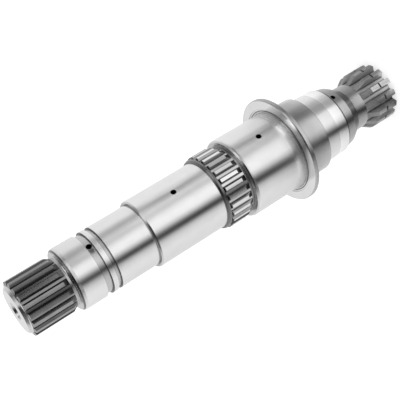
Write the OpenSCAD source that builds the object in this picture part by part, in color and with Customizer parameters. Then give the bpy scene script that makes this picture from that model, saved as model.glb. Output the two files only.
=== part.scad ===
// Gearbox main shaft, standing on its rear end face.
// The axis is Z, the origin is the centre of the rear end face, and the front splined end is up.
// Lengths are given from the rear end to the front end, in the order in which they lie on the shaft.

/* [Rear spline] */
// Number of teeth on the rear spline
rear_teeth = 14; // [12:1:16]
// Diameter over the rear teeth
rear_tip_d = 64; // [61:0.5:67]
// Diameter at the foot of the rear teeth
rear_root_d = 50; // [48:0.5:50.5]
// Width of a rear tooth at its tip
rear_land = 5.4; // [4.5:0.1:5.8]
// Width of the gap between two rear teeth, at their foot
rear_gap = 4.8; // [4:0.1:5.2]
// Length of the rear teeth at full height
rear_spline_l = 26.5; // [20:0.5:40]
// Slope at which the rear teeth run out into the neck, in degrees
rear_runout_angle = 31; // [25:1:40]
// Turn of the rear teeth from the line of the oil holes, in degrees
rear_phase = 0.5; // [0:0.1:25]
// Bevel round the rear end of the teeth
rear_bevel = 1; // [0.5:0.1:2]
// Distance of the snap ring groove from the rear end
ring_groove_from_end = 13.5; // [6:0.5:16]
// Width of the snap ring groove
ring_groove_w = 2; // [1.5:0.1:3]
// Depth of the snap ring groove
ring_groove_depth = 1.2; // [0.8:0.1:2]

/* [Neck and rear cones] */
// Diameter of the neck
neck_d = 51; // [51:0.5:54]
// Length of the plain neck
neck_l = 13; // [6:0.5:25]
// Diameter where the steep cone meets the gentle cone
cone_d = 66.4; // [62:0.2:70]
// Length of the steep cone
steep_cone_l = 12.1; // [8:0.1:20]
// Length of the gentle cone, which carries the rear oil hole
gentle_cone_l = 11.7; // [8:0.1:20]

/* [Rear bearing seat] */
// Diameter of the ground bearing seat
seat_d = 75; // [74:0.5:78]
// Length of the ground bearing seat
seat_l = 17.1; // [10:0.1:30]
// Amount by which the lead-in land is smaller than the seat, on the diameter
lead_relief = 0.9; // [0.8:0.1:1.4]
// Length of the lead-in land
lead_l = 12.9; // [6:0.1:20]
// Bevel at the rear end of the lead-in land
seat_bevel = 1.3; // [0.5:0.1:2]

/* [Collar and flange] */
// Diameter of the turned collar behind the flange
collar_d = 84; // [81:0.5:90]
// Length of the turned collar
collar_l = 32; // [20:0.5:50]
// Diameter of the flange
flange_d = 116.4; // [105:0.2:130]
// Thickness of the flange
flange_w = 5.3; // [4:0.1:10]
// Bevel round both edges of the flange rim and the rear edge of the collar
rim_bevel = 0.8; // [0.3:0.1:1.2]
// Fillet between the collar and the flange
flange_fillet = 2.6; // [1.5:0.1:3.5]
// Fillet between the flange and the rear journal
face_fillet = 1.2; // [0.6:0.1:2]
// Width of the recess in the flange face, round the rear journal
face_recess_w = 4.5; // [3:0.1:5.5]
// Depth of the recess in the flange face
face_recess = 0.6; // [0.3:0.1:1]

/* [Rear journal] */
// Diameter of the rear journal, which lies in front of the flange
rear_journal_d = 87.4; // [85:0.2:92]
// Length of the rear journal and its lead-in cones
rear_journal_l = 62.7; // [40:0.1:80]
// Length of the shallow lead-in cone
lead_cone_l = 1.6; // [1:0.1:3]
// Drop of the shallow lead-in cone, on the radius
lead_cone_drop = 0.5; // [0.3:0.1:0.8]
// Bevel in front of the lead-in cone
journal_bevel = 1.3; // [0.8:0.1:2]

/* [Hub spline] */
// Number of teeth on the hub spline
hub_teeth = 26; // [24:1:28]
// Diameter over the hub teeth
hub_tip_d = 80.5; // [80:0.1:83]
// Diameter at the foot of the hub teeth
hub_root_d = 74.6; // [73.5:0.1:75.5]
// Share of a pitch that a hub tooth fills halfway up its flank
hub_fill = 0.53; // [0.49:0.01:0.57]
// Length of the hub teeth with their run-out and their bevel
hub_spline_l = 26.7; // [20:0.1:40]
// Slope at which the hub teeth run out into the groove, in degrees
hub_runout_angle = 28; // [22:1:40]
// Turn of the hub teeth from the line of the oil holes, in degrees
hub_phase = 2.8; // [0:0.1:13]
// Width of the turned groove behind the hub teeth
hub_groove_w = 2.5; // [1.5:0.1:5]
// Bevel on the front end of the hub teeth
hub_bevel = 0.8; // [0.4:0.1:1.4]
// Width of the narrow groove between the hub teeth and the stop ring
relief_w = 1; // [0.8:0.1:2.5]
// Depth of that groove below the foot of the hub teeth
relief_depth = 0.5; // [0.3:0.1:1]
// Diameter of the stop ring in front of the hub teeth
stop_ring_d = 78; // [77.6:0.1:79.5]
// Width of the stop ring
stop_ring_w = 3.6; // [2.8:0.1:5]
// Radius round the front edge of the stop ring
stop_ring_round = 2.2; // [0.6:0.1:2.4]

/* [Middle journal] */
// Diameter of the middle journal
middle_journal_d = 72.8; // [70:0.1:73]
// Length of the middle journal
middle_journal_l = 79.4; // [50:0.1:100]
// Bevel at the front of the middle journal
middle_bevel = 1.3; // [0.5:0.1:1.6]

/* [Front journal] */
// Diameter of the front journal
front_journal_d = 66; // [64:0.1:67]
// Width of the undercut at the rear of the front journal
undercut_w = 1.7; // [1:0.1:3]
// Depth of the undercut
undercut_depth = 0.7; // [0.4:0.1:1.2]
// Length of the front journal behind its grooves
front_journal_l = 41.6; // [25:0.1:60]
// Width of the seal groove
seal_groove_w = 4.4; // [3:0.1:7]
// Width of the land between the two grooves
land_w = 4.9; // [3:0.1:8]
// Width of the oil groove
oil_groove_w = 7.5; // [6.5:0.1:10]
// Depth of both grooves
groove_depth = 2.2; // [1:0.1:3]
// Length of the front journal in front of its grooves, with its lead-in cone and its bevel
front_land_l = 25.5; // [15:0.1:40]
// Length of the shallow lead-in cone of the front journal
front_cone_l = 2.5; // [1:0.1:4]
// Drop of that lead-in cone, on the radius
front_cone_drop = 0.6; // [0.3:0.1:1]
// Bevel in front of that lead-in cone
front_bevel = 1.5; // [1:0.1:2.5]

/* [Front spline] */
// Number of teeth on the front spline
front_teeth = 18; // [17:1:19]
// Diameter over the front teeth
front_tip_d = 57.6; // [56.4:0.1:58.4]
// Diameter at the foot of the front teeth
front_root_d = 51.6; // [51.2:0.1:52.4]
// Share of a pitch that a front tooth fills halfway up its flank
front_fill = 0.58; // [0.52:0.01:0.61]
// Length of the front spline with its run-out and its bevel
front_spline_l = 46.5; // [30:0.5:70]
// Slope at which the front teeth run out, in degrees
front_runout_angle = 30; // [22:1:40]
// Turn of the front teeth from the line of the oil holes, in degrees
front_phase = 6.1; // [0:0.1:20]
// Length of the bevel on the front end of the teeth
front_tooth_bevel = 0.9; // [0.5:0.1:3]
// Width of the neck between the front spline and the front journal
front_neck_w = 3.3; // [2:0.1:6]
// Diameter of the neck between the front spline and the front journal
front_neck_d = 51; // [49:0.1:51]
// Fillet between that neck and the front journal
front_neck_fillet = 1.5; // [0.5:0.1:1.8]
// Diameter of the nose in front of the spline
nose_d = 50.4; // [46:0.2:50.8]
// Length of the nose
nose_l = 3.5; // [2.8:0.1:6]
// Bevel round the front edge of the nose
nose_bevel = 2.6; // [1:0.1:2.7]

/* [Oil gallery and centres] */
// Diameter of the oil gallery along the axis
gallery_d = 10; // [6:0.5:12]
// Diameter of the four cross holes that feed the journals
oil_hole_d = 5.2; // [4:0.1:6]
// Width of the bevel round the mouth of a cross hole
oil_hole_bevel = 0.4; // [0.2:0.1:0.6]
// Distance of the middle oil hole from the rear end of the middle journal
middle_oil_hole_from_rear = 39; // [15:0.1:45]
// Distance of the rear journal's oil hole from the flange face
rear_oil_hole_from_face = 29.9; // [12:0.1:32]
// Distance of the rear oil hole from the end of the steep cone
cone_oil_hole_from_cone = 7.8; // [4:0.1:8]
// Distance that the gallery is drilled past the rear oil hole
gallery_past_hole = 5; // [3:0.5:8]
// Diameter of the centre in the front end
front_centre_d = 19; // [15:0.5:24]
// Diameter of the centre in the rear end
rear_centre_d = 14; // [10:0.5:18]
// Diameter of the pilot hole behind the rear centre
rear_pilot_d = 6.3; // [4:0.1:8]
// Depth of the rear pilot hole
rear_pilot_depth = 14; // [11:0.5:25]

/* [Hidden] */

$fn = 96;
// Pressure angle of the two involute splines, halfway up their flanks
pressure_angle = 30;
// Half the angle of a centre, and of a drill point
centre_half_angle = 30;
drill_half_angle = 59;
// How far a cut or a tooth reaches past the face that it meets
past = 0.6;
// Straight steps along one flank, and along one rounded edge
flank_steps = 3;
round_steps = 6;

rear_tip_r = rear_tip_d / 2;
rear_root_r = rear_root_d / 2;
neck_r = neck_d / 2;
cone_r = cone_d / 2;
seat_r = seat_d / 2;
lead_r = seat_r - lead_relief / 2;
collar_r = collar_d / 2;
flange_r = flange_d / 2;
rear_journal_r = rear_journal_d / 2;
hub_tip_r = hub_tip_d / 2;
hub_root_r = hub_root_d / 2;
relief_r = hub_root_r - relief_depth;
stop_ring_r = stop_ring_d / 2;
middle_journal_r = middle_journal_d / 2;
front_journal_r = front_journal_d / 2;
undercut_r = front_journal_r - undercut_depth;
groove_r = front_journal_r - groove_depth;
front_tip_r = front_tip_d / 2;
front_root_r = front_root_d / 2;
front_neck_r = front_neck_d / 2;
nose_r = nose_d / 2;

// Heights along the axis, from the rear end face up
rear_runout_l = (rear_tip_r - rear_root_r) / tan(rear_runout_angle);
neck_z = rear_spline_l + rear_runout_l;
steep_cone_z = neck_z + neck_l;
gentle_cone_z = steep_cone_z + steep_cone_l;
lead_z = gentle_cone_z + gentle_cone_l;
seat_z = lead_z + seat_bevel + lead_l;
collar_z = seat_z + seat_l;
flange_z = collar_z + collar_l;
flange_face_z = flange_z + flange_w;
hub_groove_z = flange_face_z + rear_journal_l;
hub_z = hub_groove_z + hub_groove_w;
relief_z = hub_z + hub_spline_l;
stop_ring_z = relief_z + relief_w;
middle_z = stop_ring_z + stop_ring_w;
undercut_z = middle_z + middle_journal_l;
front_journal_z = undercut_z + undercut_w;
seal_groove_z = front_journal_z + front_journal_l;
land_z = seal_groove_z + seal_groove_w;
oil_groove_z = land_z + land_w;
front_land_z = oil_groove_z + oil_groove_w;
front_neck_z = front_land_z + front_land_l;
front_spline_z = front_neck_z + front_neck_w;
nose_z = front_spline_z + front_spline_l;
shaft_l = nose_z + nose_l;

// The cross holes lie on one line along the shaft: each entry is a height and the radius of the surface there
cone_hole_z = gentle_cone_z + cone_oil_hole_from_cone;
oil_holes = [
    [cone_hole_z, cone_r + (lead_r - seat_bevel - cone_r) * cone_oil_hole_from_cone / gentle_cone_l],
    [flange_face_z + rear_oil_hole_from_face, rear_journal_r],
    [middle_z + middle_oil_hole_from_rear, middle_journal_r],
    [oil_groove_z + oil_groove_w / 2, groove_r]
];

// Points of an arc from angle a to angle b, as [radius, height] pairs
function arc(centre, r, a, b) =
    [for (i = [0 : round_steps]) let (t = a + (b - a) * i / round_steps) centre + r * [cos(t), sin(t)]];

// A point in polar form
function polar(r, angle) = r * [cos(angle), sin(angle)];

// Angle by which an involute has turned away from its start on the base circle, in degrees
function involute_turn(base_r, r) = let (a = acos(min(1, base_r / r))) tan(a) * 180 / PI - a;

// Half the angle of an involute tooth at radius r, when it fills a share of a pitch halfway up its flank
function involute_half(teeth, fill, root_r, tip_r, r) =
    let (middle_r = (root_r + tip_r) / 2, base_r = middle_r * cos(pressure_angle))
    fill * 180 / teeth + involute_turn(base_r, middle_r) - involute_turn(base_r, r);

// Half the angle of a straight-sided tooth at radius r, from its tip land and the gap at its foot
function straight_half(teeth, tip_r, root_r, land, gap, r) =
    let (foot_w = 2 * root_r * sin(180 / teeth - asin(gap / 2 / root_r)))
    asin((land + (foot_w - land) * (tip_r - r) / (tip_r - root_r)) / 2 / r);

// Outline of all teeth: halves holds a [radius, half angle] pair for each step up the flank
function toothed_outline(teeth, phase, halves) =
    let (last = len(halves) - 1)
    [for (i = [0 : teeth - 1], k = [0 : 2 * last + 1])
        let (up = k <= last, step = up ? halves[k] : halves[2 * last + 1 - k])
        polar(step[0], phase + i * 360 / teeth + (up ? -1 : 1) * step[1])];

// Radii at which a flank is worked out, from inside the root to outside the tip
function flank_radii(root_r, tip_r) =
    [for (i = [0 : flank_steps]) root_r - past + (tip_r - root_r + 2 * past) * i / flank_steps];

// Teeth between two heights, trimmed by a turned envelope
module teeth(outline, z, l, envelope) {
    intersection() {
        translate([0, 0, z]) linear_extrude(l) polygon(outline);
        rotate_extrude() polygon(envelope);
    }
}

// Straight-sided teeth of the rear spline, with the snap ring groove across their tips
module rear_spline() {
    halves = [for (r = [rear_root_r - past, rear_tip_r + past])
        [r, straight_half(rear_teeth, rear_tip_r, rear_root_r, rear_land, rear_gap, r)]];
    groove_top_z = ring_groove_from_end + ring_groove_w;
    teeth(toothed_outline(rear_teeth, rear_phase, halves), 0, neck_z, [
        [0, 0],
        [rear_tip_r - rear_bevel, 0],
        [rear_tip_r, rear_bevel],
        [rear_tip_r, ring_groove_from_end],
        [rear_tip_r - ring_groove_depth, ring_groove_from_end],
        [rear_tip_r - ring_groove_depth, groove_top_z],
        [rear_tip_r, groove_top_z],
        [rear_tip_r, rear_spline_l],
        [rear_root_r, neck_z],
        [0, neck_z]
    ]);
}

// Involute teeth of the hub spline, which run out into the groove behind them
module hub_spline() {
    halves = [for (r = flank_radii(hub_root_r, hub_tip_r))
        [r, involute_half(hub_teeth, hub_fill, hub_root_r, hub_tip_r, r)]];
    full_z = hub_z + (hub_tip_r - hub_root_r) / tan(hub_runout_angle);
    teeth(toothed_outline(hub_teeth, hub_phase, halves), hub_z, hub_spline_l, [
        [0, hub_z],
        [hub_root_r, hub_z],
        [hub_tip_r, full_z],
        [hub_tip_r, relief_z - hub_bevel],
        [hub_tip_r - hub_bevel, relief_z],
        [0, relief_z]
    ]);
}

// Involute teeth of the front spline, which run out towards the journal
module front_spline() {
    halves = [for (r = flank_radii(front_root_r, front_tip_r))
        [r, involute_half(front_teeth, front_fill, front_root_r, front_tip_r, r)]];
    full_z = front_spline_z + (front_tip_r - front_root_r) / tan(front_runout_angle);
    teeth(toothed_outline(front_teeth, front_phase, halves), front_spline_z, front_spline_l, [
        [0, front_spline_z],
        [front_root_r, front_spline_z],
        [front_tip_r, full_z],
        [front_tip_r, nose_z - front_tooth_bevel],
        [front_root_r, nose_z],
        [0, nose_z]
    ]);
}

// The turned body, without the teeth
module turned_body() {
    rotate_extrude() polygon(concat(
        [
            [0, 0],
            [rear_root_r, 0],
            [rear_root_r, neck_z],
            [neck_r, neck_z],
            [neck_r, steep_cone_z],
            [cone_r, gentle_cone_z],
            [lead_r - seat_bevel, lead_z],
            [lead_r, lead_z + seat_bevel],
            [lead_r, seat_z],
            [seat_r, seat_z],
            [seat_r, collar_z],
            [collar_r - rim_bevel, collar_z],
            [collar_r, collar_z + rim_bevel]
        ],
        arc([collar_r + flange_fillet, flange_z - flange_fillet], flange_fillet, 180, 90),
        [
            [flange_r - rim_bevel, flange_z],
            [flange_r, flange_z + rim_bevel],
            [flange_r, flange_face_z - rim_bevel],
            [flange_r - rim_bevel, flange_face_z],
            [rear_journal_r + face_recess_w, flange_face_z],
            [rear_journal_r + face_recess_w, flange_face_z - face_recess]
        ],
        arc([rear_journal_r + face_fillet, flange_face_z - face_recess + face_fillet], face_fillet, 270, 180),
        [
            [rear_journal_r, hub_groove_z - journal_bevel - lead_cone_l],
            [rear_journal_r - lead_cone_drop, hub_groove_z - journal_bevel],
            [rear_journal_r - lead_cone_drop - journal_bevel, hub_groove_z],
            [hub_root_r, hub_groove_z],
            [hub_root_r, relief_z],
            [relief_r, relief_z],
            [relief_r, stop_ring_z],
            [stop_ring_r, stop_ring_z]
        ],
        arc([stop_ring_r - stop_ring_round, middle_z - stop_ring_round], stop_ring_round, 0, 90),
        [
            [middle_journal_r, middle_z],
            [middle_journal_r, undercut_z - middle_bevel],
            [middle_journal_r - middle_bevel, undercut_z],
            [undercut_r, undercut_z],
            [undercut_r, front_journal_z],
            [front_journal_r, front_journal_z],
            [front_journal_r, seal_groove_z],
            [groove_r, seal_groove_z],
            [groove_r, land_z],
            [front_journal_r, land_z],
            [front_journal_r, oil_groove_z],
            [groove_r, oil_groove_z],
            [groove_r, front_land_z],
            [front_journal_r, front_land_z],
            [front_journal_r, front_neck_z - front_bevel - front_cone_l],
            [front_journal_r - front_cone_drop, front_neck_z - front_bevel],
            [front_journal_r - front_cone_drop - front_bevel, front_neck_z]
        ],
        arc([front_neck_r + front_neck_fillet, front_neck_z + front_neck_fillet], front_neck_fillet, 270, 180),
        [
            [front_neck_r, front_spline_z],
            [front_root_r, front_spline_z],
            [front_root_r, nose_z],
            [nose_r, nose_z],
            [nose_r, shaft_l - nose_bevel],
            [nose_r - nose_bevel, shaft_l],
            [0, shaft_l]
        ]
    ));
}

// A centre hole that opens at height z: the cone narrows from mouth_d to hole_d, down into the shaft
module centre_cone(mouth_d, hole_d) {
    depth = (mouth_d - hole_d) / 2 / tan(centre_half_angle);
    translate([0, 0, -depth]) cylinder(h = depth, d1 = hole_d, d2 = mouth_d);
    cylinder(h = past, d = mouth_d);
}

// The oil gallery, drilled from the front end to just past the rear oil hole
module gallery() {
    point_l = gallery_d / 2 / tan(drill_half_angle);
    floor_z = cone_hole_z - gallery_past_hole;
    translate([0, 0, floor_z]) cylinder(h = shaft_l + past - floor_z, d = gallery_d);
    translate([0, 0, floor_z - point_l]) cylinder(h = point_l, d1 = 0, d2 = gallery_d);
    translate([0, 0, shaft_l]) centre_cone(front_centre_d, gallery_d);
}

// One cross hole, from the gallery out to a surface of radius r, with a bevelled mouth
module oil_hole(z, r) {
    translate([0, 0, z]) rotate([0, 90, 0]) {
        cylinder(h = r + groove_depth + past, d = oil_hole_d);
        translate([0, 0, r - oil_hole_bevel]) cylinder(
            h = 2 * oil_hole_bevel, d1 = oil_hole_d, d2 = oil_hole_d + 4 * oil_hole_bevel);
    }
}

// The centre in the rear end, which the shaft was turned and ground on
module rear_centre() {
    mirror([0, 0, 1]) centre_cone(rear_centre_d, rear_pilot_d);
    translate([0, 0, -past]) cylinder(h = rear_pilot_depth + past, d = rear_pilot_d);
}

module drive_shaft() {
    color([0.74, 0.75, 0.76]) difference() {
        union() {
            turned_body();
            rear_spline();
            hub_spline();
            front_spline();
        }
        gallery();
        for (hole = oil_holes) oil_hole(hole[0], hole[1]);
        rear_centre();
    }
}

drive_shaft();
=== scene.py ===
import math

import bpy
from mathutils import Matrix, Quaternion, Vector

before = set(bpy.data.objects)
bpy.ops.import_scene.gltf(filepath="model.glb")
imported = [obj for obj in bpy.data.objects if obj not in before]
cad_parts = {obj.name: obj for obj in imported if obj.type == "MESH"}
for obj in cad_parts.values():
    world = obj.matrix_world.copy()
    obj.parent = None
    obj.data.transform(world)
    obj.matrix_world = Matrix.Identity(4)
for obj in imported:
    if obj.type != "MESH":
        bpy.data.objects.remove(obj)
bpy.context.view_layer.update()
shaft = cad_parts["drive_shaft"]
scene = bpy.context.scene
print("stage: frame loaded")


# small helpers


def linearColour(hexText):
    # sRGB hex to the linear colour that a shader socket takes
    parts = [int(hexText[i:i + 2], 16) / 255 for i in (1, 3, 5)]
    return tuple(c / 12.92 if c <= 0.04045 else ((c + 0.055) / 1.055) ** 2.4 for c in parts) + (1,)


def addNode(tree, kind, settings=None, links=None):
    # settings go to attributes or, by name or number, to input sockets; links maps an input to an output
    node = tree.nodes.new(kind)
    for name, value in (settings or {}).items():
        if isinstance(name, str) and hasattr(node, name):
            setattr(node, name, value)
        else:
            node.inputs[name].default_value = value
    for name, output in (links or {}).items():
        tree.links.new(output, node.inputs[name])
    return node


def emptyMaterial(name):
    material = bpy.data.materials.new(name)
    material.use_nodes = True
    material.node_tree.nodes.clear()
    return material, material.node_tree


def meshObject(name, points, faces, material):
    mesh = bpy.data.meshes.new(name)
    mesh.from_pydata(points, [], faces)
    mesh.materials.append(material)
    thing = bpy.data.objects.new(name, mesh)
    scene.collection.objects.link(thing)
    return thing


# the camera, from in front of the splined end and above it

shot = {
    "place": (0.68757, -0.40643, 0.57200),
    "aim": (-0.00062, -0.00105, 0.24725),
    "roll": -121.52,  # degrees, the shaft leans across the picture
    "lens": 77.6,
    "sensorWidth": 36,
    "nearest": 0.01,
    "farthest": 100,
}

cameraData = bpy.data.cameras.new("studioCamera")
cameraData.lens = shot["lens"]
cameraData.sensor_width = shot["sensorWidth"]
cameraData.clip_start = shot["nearest"]
cameraData.clip_end = shot["farthest"]
camera = bpy.data.objects.new("studioCamera", cameraData)
scene.collection.objects.link(camera)
camera.location = shot["place"]
camera.rotation_mode = "QUATERNION"
sight = Vector(shot["aim"]) - Vector(shot["place"])
lean = Quaternion((0, 0, 1), math.radians(shot["roll"]))
camera.rotation_quaternion = sight.to_track_quat("-Z", "Y") @ lean
scene.camera = camera
cameraAzimuth = math.atan2(shot["place"][1], shot["place"][0])
print("stage: camera")

# steel, one material for each way that its surface was made
# lines: pitch in mm of the rings that the tool left, 0 for marks along the shaft. Real ones lie about 0.1 mm
# apart, too fine to show, so they are drawn coarser
# depth: of those marks, in mm
# stain: share of the colour lost in the darkest cloud
# corner: share lost in a deep corner, painted shade that ambient occlusion finds within reach, in mm
# some also have metallic, full or grain, which usualSteel explains

steel = {
    # ground: smooth enough to mirror the studio as long clean streaks
    "groundSteel": {"colour": "#EAEAEA", "roughness": 0.21, "anisotropic": 0.9, "lines": 0.5,
                    "depth": 0.0002, "stain": 0.04, "corner": 0.5, "reach": 1.0},
    # ground against a shoulder, where the wheel's edge leaves a coarser band that blurs the streaks
    "shoulderSteel": {"colour": "#EAEAEA", "roughness": 0.21, "anisotropic": 0.9, "lines": 0.5,
                      "depth": 0.0002, "stain": 0.04, "corner": 0.4, "reach": 0.8},
    # ground and then polished by the bearing that was pressed over it: the brightest
    "polishedSteel": {"colour": "#FDFDFD", "roughness": 0.2, "anisotropic": 0.9, "lines": 0.5,
                      "depth": 0.0002, "stain": 0.02, "corner": 0.5, "reach": 1.0},
    # faced flat: rings round the shaft, which draw its light and dark out into a fan
    "facedSteel": {"colour": "#E6E6E6", "roughness": 0.16, "anisotropic": 0.5, "lines": 0.5,
                   "depth": 0.0002, "stain": 0.05, "corner": 0.3, "reach": 0.8},
    # turned: softer streaks across fine rings
    "turnedSteel": {"colour": "#C8C8C8", "roughness": 0.24, "anisotropic": 0.7, "lines": 0.7,
                    "depth": 0.0005, "stain": 0.1, "corner": 0.5, "reach": 1.2},
    # turned and left rough: grey, with a wide soft sheen
    "roughTurnedSteel": {"colour": "#CCCCCC", "roughness": 0.22, "anisotropic": 0.6, "lines": 1.0,
                         "depth": 0.0008, "stain": 0.1, "corner": 0.5, "reach": 1.2},
    # turned before hardening, which left a dark skin: groove walls, bevels and the fillet at the flange
    "darkTurnedSteel": {"colour": "#B2B2B2", "roughness": 0.22, "anisotropic": 0.3, "lines": 0.8,
                        "depth": 0.0005, "stain": 0.14, "corner": 0.6, "reach": 1.2},
    # turned bright after hardening: bevels and the nose, like a mirror
    "brightTurnedSteel": {"colour": "#E0E0E0", "roughness": 0.16, "anisotropic": 0.2, "lines": 0.8,
                          "depth": 0.0003, "stain": 0.05, "corner": 0.3, "reach": 0.8},
    # shaved: the tips of the hub teeth, bright lines between dark ones
    "shavedSteel": {"colour": "#EAEAEA", "roughness": 0.18, "anisotropic": 0.0, "lines": 0,
                    "depth": 0.0005, "stain": 0.05, "corner": 0.4, "reach": 0.8},
    # cut clean: the roots of the hub teeth, pale where light gets in
    "cutSteel": {"colour": "#E2E2E2", "roughness": 0.22, "anisotropic": 0.0, "lines": 0,
                 "depth": 0.0006, "stain": 0.1, "corner": 0.8, "reach": 2.0},
    # worn by the hub that slides on it: the flanks of the hub teeth, with painted shade that makes them
    # black at their foot
    "slidingSteel": {"colour": "#A6A6A6", "roughness": 0.24, "anisotropic": 0.0, "lines": 0,
                     "depth": 0.0006, "stain": 0.14, "corner": 0.96, "reach": 2.4, "full": 0.52},
    # hobbed: tips and roots of the front teeth, dark with a gloss
    "hobbedSteel": {"colour": "#9C9C9C", "roughness": 0.22, "anisotropic": 0.0, "lines": 0,
                    "depth": 0.0006, "stain": 0.16, "corner": 0.5, "reach": 1.2},
    # left as cut, with a dark oxide: flanks of the front teeth and walls of the grooves, darker still,
    # partly painted shade from the teeth and walls that face them
    "flankSteel": {"colour": "#6E6E6E", "roughness": 0.3, "anisotropic": 0.0, "lines": 0,
                   "depth": 0.0006, "stain": 0.2, "corner": 0.5, "reach": 1.2},
    # turned and then hardened with the teeth: the stop ring and the front journal's bevel, a dark grey
    "hardenedSteel": {"colour": "#868686", "roughness": 0.24, "anisotropic": 0.4, "lines": 0.8,
                      "depth": 0.0005, "stain": 0.16, "corner": 0.6, "reach": 1.2},
    # milled and phosphated: the rear teeth, a matt pale grey with fine grain
    "milledSteel": {"colour": "#E0E0E0", "roughness": 0.42, "anisotropic": 0.0, "lines": 0,
                    "depth": 0.0015, "stain": 0.3, "corner": 0.98, "reach": 2.4,
                    "full": 0.6, "metallic": 0.75, "grain": 0.45},
    # the same, worn smoother: tips of those teeth, which catch the light
    "wornSteel": {"colour": "#DCDCDC", "roughness": 0.27, "anisotropic": 0.0, "lines": 0,
                  "depth": 0.0012, "stain": 0.3, "corner": 0.5, "reach": 1.2,
                  "metallic": 0.9, "grain": 0.4},
    # the same, where the cutter ran out: slopes of those teeth, a darker grey
    "runOutSteel": {"colour": "#B2B2B2", "roughness": 0.42, "anisotropic": 0.0, "lines": 0,
                    "depth": 0.0015, "stain": 0.3, "corner": 0.7, "reach": 1.6,
                    "metallic": 0.85, "grain": 0.4},
    # turned in one rough cut: dull, so that the teeth that it mirrors are only a blur, and a darker grey
    # that paints the shade of those teeth
    "coarseTurnedSteel": {"colour": "#969696", "roughness": 0.3, "anisotropic": 0.3, "lines": 1.0,
                          "depth": 0.0008, "stain": 0.16, "corner": 0.5, "reach": 1.2},
    # painted shade: near black for the bores, the oil holes and the bevel behind the seat, where no light
    # reaches
    "paintedShadeSteel": {"colour": "#2C2C2C", "roughness": 0.5, "anisotropic": 0.0, "lines": 1.0,
                    "depth": 0.001, "stain": 0.1, "corner": 0.5, "reach": 1.2},
}
# what a steel has unless it says otherwise
usualSteel = {
    "metallic": 1.0,  # less under a skin of phosphate
    "full": 0.35,  # openness below which the whole of the corner's share is lost
    "open": 0.95,  # openness above which none of it is
    "cornerSamples": 8,
    "grainOfStain": 0.5,  # grain is the share lost in the darkest mark, half of the stain
    "bump": 0.5,
    "markTurn": 0.25,  # a quarter turn: the marks run round the shaft
}
# the noise that stains and marks them
patterns = {
    "cloudSize": 16.667,  # mm, clouds of stain
    "cloud": {"Detail": 5.0, "Roughness": 0.6},
    "grainSize": 1.1111,  # mm across a cutter's mark, really about a tenth of that and too fine to show
    "grainSquash": 0.08,  # along the shaft, which draws the grain out into marks
    "marks": {"Detail": 3.0, "Roughness": 0.7},
    "span": {"From Min": 0.3, "From Max": 0.7},  # noise seldom leaves it
}
# painted shade: dark rings where a face meets a round: a height or a radius in mm, half a width and the
# share lost
shadeRings = {
    "turnedSteel": [("height", 74.7, 0.6, 0.85)],
    "facedSteel": [("radius", 46.1, 0.7, 0.8), ("radius", 48.2, 0.25, 0.3)],
}
# a darker spot beside a hole: a point and a reach in mm, and the share lost
darkSpots = {
    "roughTurnedSteel": [((30.3, -4.8, 376.0), 3.6, 0.75)],
}
# both fade out between these parts of their width or reach
darkMarkFade = {"ring": (0.6, 1.2), "spot": (0.5, 1.2)}
# coarser bands: from a height in mm to another, and the roughness added at the first
coarseBands = {
    "shoulderSteel": (146.0, 151.5, 0.34),
}


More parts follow.
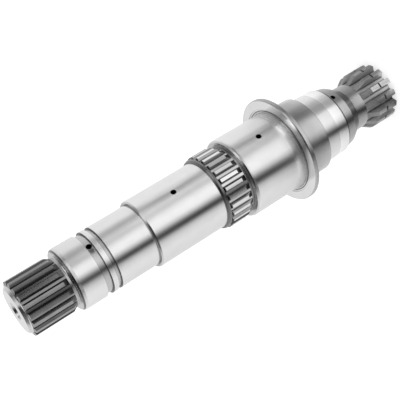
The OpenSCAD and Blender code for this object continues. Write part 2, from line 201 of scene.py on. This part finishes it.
def steelMaterial(name, look):
    look = {**usualSteel, "grain": look["stain"] * usualSteel["grainOfStain"], **look}
    material, tree = emptyMaterial(name)
    place = addNode(tree, "ShaderNodeTexCoord")
    parts = addNode(tree, "ShaderNodeSeparateXYZ", {}, {0: place.outputs["Object"]})
    # slow clouds of stain over the whole surface
    stain = addNode(tree, "ShaderNodeTexNoise", {
        "Scale": 1000 / patterns["cloudSize"], **patterns["cloud"],
    }, {"Vector": place.outputs["Object"]})
    if look["lines"]:
        marks = addNode(tree, "ShaderNodeTexNoise", {
            "noise_dimensions": "1D", "Scale": 1000 / look["lines"], **patterns["marks"],
        }, {"W": parts.outputs["Z"]})
    else:
        # grain drawn out along the shaft, the way that the cutter went
        along = addNode(tree, "ShaderNodeMapping", {"Scale": (1.0, 1.0, patterns["grainSquash"])},
                        {"Vector": place.outputs["Object"]})
        marks = addNode(tree, "ShaderNodeTexNoise", {
            "Scale": 1000 / patterns["grainSize"], **patterns["marks"],
        }, {"Vector": along.outputs[0]})
    # what each kind of dirt leaves of the colour
    cloudy = addNode(tree, "ShaderNodeMapRange", {
        **patterns["span"], "To Min": 1.0 - look["stain"], "To Max": 1.0,
    }, {"Value": stain.outputs["Fac"]})
    grainy = addNode(tree, "ShaderNodeMapRange", {
        **patterns["span"], "To Min": 1.0 - look["grain"], "To Max": 1.0,
    }, {"Value": marks.outputs["Fac"]})
    # painted shade: corners that ambient occlusion finds closed in are darkened
    nook = addNode(tree, "ShaderNodeAmbientOcclusion", {
        "samples": look["cornerSamples"], "only_local": True, "Distance": look["reach"] / 1000,
    })
    cornerShade = addNode(tree, "ShaderNodeMapRange", {
        "From Min": look["full"], "From Max": look["open"], "To Min": 1.0 - look["corner"], "To Max": 1.0,
    }, {"Value": nook.outputs["AO"]})
    left = [cloudy, grainy, cornerShade]
    # and painted shade rings and dark spots by their distance from a ring or a point
    darkMarks = []
    for way, middle, width, share in shadeRings.get(name, []):
        measure = parts.outputs["Z"]
        if way == "radius":
            flat = addNode(tree, "ShaderNodeCombineXYZ", {},
                           {"X": parts.outputs["X"], "Y": parts.outputs["Y"]})
            radius = addNode(tree, "ShaderNodeVectorMath", {"operation": "LENGTH"}, {0: flat.outputs[0]})
            measure = radius.outputs["Value"]
        off = addNode(tree, "ShaderNodeMath", {"operation": "SUBTRACT", 1: middle / 1000}, {0: measure})
        away = addNode(tree, "ShaderNodeMath", {"operation": "ABSOLUTE"}, {0: off.outputs[0]})
        darkMarks.append((away.outputs[0], width, share, darkMarkFade["ring"]))
    for point, reach, share in darkSpots.get(name, []):
        away = addNode(tree, "ShaderNodeVectorMath", {
            "operation": "DISTANCE", 1: [c / 1000 for c in point],
        }, {0: place.outputs["Object"]})
        darkMarks.append((away.outputs["Value"], reach, share, darkMarkFade["spot"]))
    for distance, size, share, (start, end) in darkMarks:
        left.append(addNode(tree, "ShaderNodeMapRange", {
            "From Min": size * start / 1000, "From Max": size * end / 1000,
            "To Min": 1.0 - share, "To Max": 1.0,
        }, {"Value": distance}))
    kept = left[0]
    for other in left[1:]:
        kept = addNode(tree, "ShaderNodeMath", {"operation": "MULTIPLY"},
                       {0: kept.outputs[0], 1: other.outputs[0]})
    # inputs 6 and 7 are the two colours
    colour = addNode(tree, "ShaderNodeMix", {"data_type": "RGBA", "blend_type": "MULTIPLY", 0: 1.0,
                                             6: linearColour(look["colour"])}, {7: kept.outputs[0]})
    rough = addNode(tree, "ShaderNodeMapRange", {
        **patterns["span"], "To Min": look["roughness"] * (1 + look["stain"]),
        "To Max": look["roughness"] * (1 - look["stain"]),
    }, {"Value": stain.outputs["Fac"]})
    if name in coarseBands:
        bottom, top, added = coarseBands[name]
        extra = addNode(tree, "ShaderNodeMapRange", {
            "From Min": bottom / 1000, "From Max": top / 1000, "To Min": added, "To Max": 0.0,
        }, {"Value": parts.outputs["Z"]})
        rough = addNode(tree, "ShaderNodeMath", {"operation": "ADD"},
                        {0: rough.outputs[0], 1: extra.outputs[0]})
    bump = addNode(tree, "ShaderNodeBump", {"Strength": look["bump"], "Distance": look["depth"] / 1000},
                   {"Height": marks.outputs["Fac"]})
    tangent = addNode(tree, "ShaderNodeTangent", {"direction_type": "RADIAL", "axis": "Z"})
    shader = addNode(tree, "ShaderNodeBsdfPrincipled", {
        "Metallic": look["metallic"],
        "Anisotropic": look["anisotropic"],
        "Anisotropic Rotation": look["markTurn"],
    }, {"Base Color": colour.outputs[2], "Roughness": rough.outputs[0], "Normal": bump.outputs[0],
        "Tangent": tangent.outputs[0]})
    addNode(tree, "ShaderNodeOutputMaterial", {}, {"Surface": shader.outputs[0]})
    return material


surfaces = list(steel)
shaft.data.materials.clear()
for name in surfaces:
    shaft.data.materials.append(steelMaterial(name, steel[name]))

# what each stretch of the shaft is finished with, from the rear end: the height in mm at which it ends, then
# the finish of its round surface, of what runs along it, and of its faces and slopes
stretches = [
    (38.2, "milledSteel", "milledSteel", "runOutSteel"),  # rear teeth
    (51.2, "turnedSteel", "turnedSteel", "turnedSteel"),  # neck
    (63.2, "coarseTurnedSteel", "coarseTurnedSteel", "coarseTurnedSteel"),  # steep cone
    (74.9, "turnedSteel", "turnedSteel", "turnedSteel"),  # gentle cone
    # the bevel behind the seat is painted near black as shade
    (76.2, "paintedShadeSteel", "paintedShadeSteel", "paintedShadeSteel"),  # bevel behind the seat
    (89.1, "polishedSteel", "polishedSteel", "polishedSteel"),  # lead land of the seat
    (106.2, "groundSteel", "groundSteel", "groundSteel"),  # bearing seat
    (143.5, "roughTurnedSteel", "roughTurnedSteel", "roughTurnedSteel"),  # collar and flange rim
    (143.6, "facedSteel", "facedSteel", "facedSteel"),  # flange face
    (205.0, "shoulderSteel", "shoulderSteel", "turnedSteel"),  # rear journal
    (206.2, "brightTurnedSteel", "brightTurnedSteel", "brightTurnedSteel"),  # its front bevel
    (208.8, "darkTurnedSteel", "darkTurnedSteel", "turnedSteel"),  # groove behind the hub teeth
    (235.5, "cutSteel", "slidingSteel", "flankSteel"),  # hub teeth
    (240.1, "hardenedSteel", "hardenedSteel", "hardenedSteel"),  # relief groove and stop ring
    (318.1, "groundSteel", "groundSteel", "groundSteel"),  # middle journal
    (319.4, "brightTurnedSteel", "brightTurnedSteel", "brightTurnedSteel"),  # its front bevel
    (321.2, "polishedSteel", "darkTurnedSteel", "darkTurnedSteel"),  # undercut
    (362.7, "groundSteel", "groundSteel", "darkTurnedSteel"),  # front journal
    (367.2, "turnedSteel", "turnedSteel", "flankSteel"),  # seal groove
    (372.0, "groundSteel", "groundSteel", "darkTurnedSteel"),  # land
    (379.6, "roughTurnedSteel", "roughTurnedSteel", "flankSteel"),  # oil groove
    (405.0, "groundSteel", "groundSteel", "hardenedSteel"),  # front journal, and the bevel that ends it
    (408.4, "turnedSteel", "turnedSteel", "turnedSteel"),  # neck
    (454.9, "hobbedSteel", "flankSteel", "hobbedSteel"),  # front teeth
    (458.3, "brightTurnedSteel", "brightTurnedSteel", "brightTurnedSteel"),  # nose
    (459.0, "facedSteel", "facedSteel", "facedSteel"),  # front face
]
# what lies between two heights and two radii in mm and has a finish of its own
patches = [
    (142.8, 144.4, 43.74, 44.8, "darkTurnedSteel"),  # fillet at the foot of the rear journal
    (142.8, 143.5, 44.8, 48.4, "facedSteel"),  # recess in the flange face
    (0.0, 38.2, 31.6, 32.2, "wornSteel"),  # tips of the rear teeth
    (208.9, 235.0, 39.5, 41.0, "shavedSteel"),  # tips of the hub teeth, which end sharply at their flanks
]
bores = {
    "galleryRadius": 5.2,
    "holeRadius": 3.1,
    "holeHeights": (71.05, 173.45, 279.05, 375.8),
}
# how far a face has to look outward to be part of a round, and along the shaft to be a face or a slope
facing = {"outward": 0.9, "along": 0.4}


def surfaceOf(centre, normal):
    x, y, z = (1000 * c for c in centre)
    r = math.hypot(x, y)
    isRound = (x * normal[0] + y * normal[1]) / max(r, 0.001) > facing["outward"]
    inHole = x > 0 and any(math.hypot(y, z - h) < bores["holeRadius"] for h in bores["holeHeights"])
    # bores and the walls of the oil holes are painted near black as shade
    if r < bores["galleryRadius"] or (inHole and not isRound):
        return "paintedShadeSteel"
    for bottom, top, inner, outer, finish in patches:
        if bottom < z < top and inner < r < outer and (isRound or finish != "shavedSteel"):
            return finish
    for top, onRound, alongside, onFace in stretches:
        if z < top:
            if isRound:
                return onRound
            return onFace if abs(normal[2]) > facing["along"] else alongside


for face in shaft.data.polygons:
    face.material_index = surfaces.index(surfaceOf(face.center, face.normal))
print("stage: steel surfaces", len(shaft.data.polygons))

# the studio: a white floor that glossy steel sees as white too, and cards that only the steel reflects

studio = {
    "floorSize": 30.0,  # m, as all sizes here
    "floorColour": "#DADADA",
    "floorGlow": 0.5,  # lifts the floor to white for the rays that show it, and leaves the shadow
    "white": (1, 1, 1, 1),
    "worldStrength": 1.0,
    "cardGap": 0.0005,  # over the floor
    "cardMiddle": 0.001,  # radii where the floor's card begins and ends
    "cardReach": 8.0,
    "cardSides": 96,
    "domeRadius": 8.5,
    "horizonRings": (0, 8, 16, 24),  # elevations in degrees
    "domeRings": (24, 32, 40, 50, 60, 70, 80, 89.9),
}


def floorMaterial():
    material, tree = emptyMaterial("paperFloor")
    rays = addNode(tree, "ShaderNodeLightPath")
    glossy = addNode(tree, "ShaderNodeMath", {"operation": "ADD"},
                     {0: rays.outputs["Is Camera Ray"], 1: rays.outputs["Is Glossy Ray"]})
    shown = addNode(tree, "ShaderNodeMath", {"operation": "ADD"},
                    {0: glossy.outputs[0], 1: rays.outputs["Is Transmission Ray"]})
    strength = addNode(tree, "ShaderNodeMath", {"operation": "MULTIPLY", 1: studio["floorGlow"]},
                       {0: shown.outputs[0]})
    paper = addNode(tree, "ShaderNodeBsdfDiffuse", {"Color": linearColour(studio["floorColour"])})
    glow = addNode(tree, "ShaderNodeEmission", {"Color": studio["white"]},
                   {"Strength": strength.outputs[0]})
    both = addNode(tree, "ShaderNodeAddShader", {}, {0: paper.outputs[0], 1: glow.outputs[0]})
    addNode(tree, "ShaderNodeOutputMaterial", {}, {"Surface": both.outputs[0]})
    return material


half = studio["floorSize"] / 2
floor = meshObject("paperFloor", [(-half, -half, 0), (half, -half, 0), (half, half, 0), (-half, half, 0)],
                   [(0, 1, 2, 3)], floorMaterial())

# grey levels of the cards round the shaft: each pair is an angle in degrees from the camera's side, and a
# level, of which 1 is white
cardLevels = {
    "nearFloor": [(-180, 0.86), (-120, 0.80), (-84, 0.56), (-66, 0.42), (-52, 0.32), (-38, 0.34),
                  (-33, 0.60), (-27, 0.90), (-16, 1.10), (6, 1.10), (13, 0.90), (20, 0.60), (26, 0.32),
                  (31, 0.14), (36, 0.07), (43, 0.05), (48, 0.12), (54, 0.28), (62, 0.46), (78, 0.68),
                  (120, 0.80), (180, 0.86)],
    "seatFloor": [(-180, 0.96), (-120, 1.06), (-96, 1.08), (-84, 0.95), (-72, 0.72), (-60, 0.56),
                  (-48, 0.46), (-38, 0.48), (-32, 0.60), (-27, 1.12), (-20, 1.38), (6, 1.38), (18, 1.08),
                  (25, 0.70), (31, 0.30), (36, 0.06), (41, 0.02), (46, 0.15), (52, 0.46), (60, 0.72),
                  (78, 0.92), (120, 0.95), (180, 0.96)],
    "coneFloor": [(-180, 0.86), (-100, 0.7), (-60, 0.3), (-30, 0.04), (40, 0.04), (60, 0.3), (100, 0.7),
                  (180, 0.86)],
    "middleFloor": [(-180, 0.80), (-120, 0.58), (-96, 0.48), (-84, 0.38), (-72, 0.22), (-60, 0.06),
                    (-46, 0.02), (-39, 0.22), (-34, 0.60), (-24, 0.74), (0, 0.80), (14, 0.74), (24, 0.52),
                    (32, 0.32), (42, 0.15), (50, 0.10), (60, 0.14), (72, 0.34), (84, 0.50), (96, 0.60),
                    (120, 0.68), (180, 0.80)],
    "farFloor": [(-180, 0.88), (-150, 0.95), (-96, 1.00), (-85, 0.92), (-76, 0.62), (-66, 0.46),
                 (-57, 0.56), (-46, 0.86), (-33, 0.72), (-22, 1.02), (-8, 1.18), (8, 1.14), (18, 0.76),
                 (28, 0.18), (36, 0.02), (43, 0.16), (51, 0.62), (62, 0.86), (84, 0.94), (130, 0.84),
                 (160, 0.84), (180, 0.88)],
    "frontFloor": [(-180, 0.88), (-150, 0.95), (-96, 1.00), (-85, 0.92), (-76, 0.68), (-66, 0.62),
                   (-57, 0.80), (-46, 1.20), (-33, 1.15), (-22, 1.02), (-8, 1.10), (8, 1.04), (18, 0.76),
                   (28, 0.20), (36, 0.02), (43, 0.12), (51, 0.56), (62, 0.84), (84, 0.92), (130, 0.84),
                   (160, 0.84), (180, 0.88)],
    "distantFloor": [(-180, 0.80), (-110, 0.80), (-94, 0.74), (-80, 0.50), (-66, 0.18), (-54, 0.04),
                     (-36, 0.02), (-28, 0.10), (-20, 0.70), (-8, 1.00), (4, 1.00), (14, 0.50), (22, 0.18),
                     (36, 0.14), (44, 0.42), (54, 0.60), (66, 0.90), (84, 1.10), (110, 1.10), (180, 0.80)],
    "horizon": [(-180, 0.86), (-96, 0.80), (-76, 0.50), (-64, 0.05), (-34, 0.05), (-24, 0.60), (-16, 1.15),
                (10, 1.15), (20, 0.60), (30, 0.05), (62, 0.05), (78, 0.50), (100, 0.80), (180, 0.86)],
    "lowDome": [(-180, 0.92), (-130, 0.75), (-110, 0.58), (-92, 0.36), (-80, 0.28), (-66, 0.75),
                (-56, 1.60), (-43, 2.40), (-34, 2.20), (-27, 1.50), (-20, 0.45), (-10, 0.10), (18, 0.04),
                (29, 0.15), (43, 0.70), (58, 1.10), (75, 1.05), (90, 0.92), (106, 0.86), (130, 0.80),
                (180, 0.92)],
    "highDome": [(-180, 0.90), (-146, 0.90), (-132, 0.60), (-118, 0.22), (-104, 0.24), (-92, 0.46),
                 (-78, 0.92), (-64, 1.00), (-50, 0.70), (-38, 0.30), (-26, 0.08), (-10, 0.02), (60, 0.04),
                 (90, 0.14), (112, 0.26), (122, 0.50), (134, 0.90), (180, 0.90)],
}
# each card has a row of levels to begin with, then where the next one takes over: on the floor between two
# distances in m, else between two sines of an elevation
cardRows = {
    "floorCard": [("nearFloor",), ("coneFloor", 0.098, 0.103), ("seatFloor", 0.14, 0.15),
                  ("middleFloor", 0.216, 0.230), ("farFloor", 0.30, 0.325), ("frontFloor", 1.05, 1.15),
                  ("distantFloor", 1.80, 1.98)],
    "horizonCard": [("horizon",), ("lowDome", 0.30, 0.36)],
    "domeCard": [("lowDome",), ("highDome", 0.60, 0.80)],
}


def cardMaterial(name):
    material, tree = emptyMaterial(name)
    place = addNode(tree, "ShaderNodeTexCoord")
    # turned so that the middle of a row faces the camera
    turned = addNode(tree, "ShaderNodeVectorRotate", {"rotation_type": "Z_AXIS", "Angle": -cameraAzimuth},
                     {"Vector": place.outputs["Object"]})
    parts = addNode(tree, "ShaderNodeSeparateXYZ", {}, {0: turned.outputs[0]})
    down = addNode(tree, "ShaderNodeMath", {"operation": "MULTIPLY", 1: -1.0}, {0: parts.outputs["Y"]})
    angle = addNode(tree, "ShaderNodeMath", {"operation": "ARCTAN2"},
                    {0: down.outputs[0], 1: parts.outputs["X"]})
    share = addNode(tree, "ShaderNodeMapRange", {"From Min": -math.pi, "From Max": math.pi},
                    {0: angle.outputs[0]})
    if name == "floorCard":
        reach = addNode(tree, "ShaderNodeVectorMath", {"operation": "LENGTH"}, {0: place.outputs["Object"]})
        measure = reach.outputs["Value"]
    else:
        lift = addNode(tree, "ShaderNodeMath", {"operation": "DIVIDE", 1: studio["domeRadius"]},
                       {0: parts.outputs["Z"]})
        measure = lift.outputs[0]
    for row, *takeover in cardRows[name]:
        ramp = addNode(tree, "ShaderNodeValToRGB", {}, {0: share.outputs[0]})
        stops = ramp.color_ramp.elements
        stops.remove(stops[-1])
        for i, (degrees, grey) in enumerate(cardLevels[row]):
            stop = stops[0] if i == 0 else stops.new((degrees + 180) / 360)
            stop.position = (degrees + 180) / 360
            stop.color = (grey, grey, grey, 1)
        if takeover:
            start, end = takeover
            blend = addNode(tree, "ShaderNodeMapRange", {"From Min": start, "From Max": end},
                            {0: measure})
            # inputs 6 and 7 are the two colours
            mix = addNode(tree, "ShaderNodeMix", {"data_type": "RGBA"},
                          {0: blend.outputs[0], 6: level, 7: ramp.outputs[0]})
            level = mix.outputs[2]
        else:
            level = ramp.outputs[0]
    glow = addNode(tree, "ShaderNodeEmission", {}, {"Color": level})
    addNode(tree, "ShaderNodeOutputMaterial", {}, {"Surface": glow.outputs[0]})
    return material


def roundCard(name, rings):
    # rings: pairs of a radius and a height, joined by faces
    steps = studio["cardSides"]
    points = [(r * math.cos(2 * math.pi * i / steps), r * math.sin(2 * math.pi * i / steps), z)
              for r, z in rings for i in range(steps)]
    sides = [(k * steps + i, k * steps + (i + 1) % steps)
             for k in range(len(rings) - 1) for i in range(steps)]
    faces = [(a, b, b + steps, a + steps) for a, b in sides]
    card = meshObject(name, points, faces, cardMaterial(name))
    for kind in ("camera", "diffuse", "transmission", "volume_scatter", "shadow"):
        setattr(card, "visible_" + kind, False)


def archOf(elevations):
    r = studio["domeRadius"]
    return [(r * math.cos(math.radians(e)), r * math.sin(math.radians(e))) for e in elevations]


roundCard("floorCard", [(r, studio["cardGap"]) for r in (studio["cardMiddle"], studio["cardReach"])])
roundCard("horizonCard", archOf(studio["horizonRings"]))
roundCard("domeCard", archOf(studio["domeRings"]))

# world

world = bpy.data.worlds.new("studioWorld")
scene.world = world
world.use_nodes = True
worldTree = world.node_tree
worldTree.nodes.clear()
backGlow = addNode(worldTree, "ShaderNodeBackground", {"Color": studio["white"],
                                                       "Strength": studio["worldStrength"]})
addNode(worldTree, "ShaderNodeOutputWorld", {}, {"Surface": backGlow.outputs[0]})

scene.view_settings.view_transform = "Standard"
print("stage: studio")
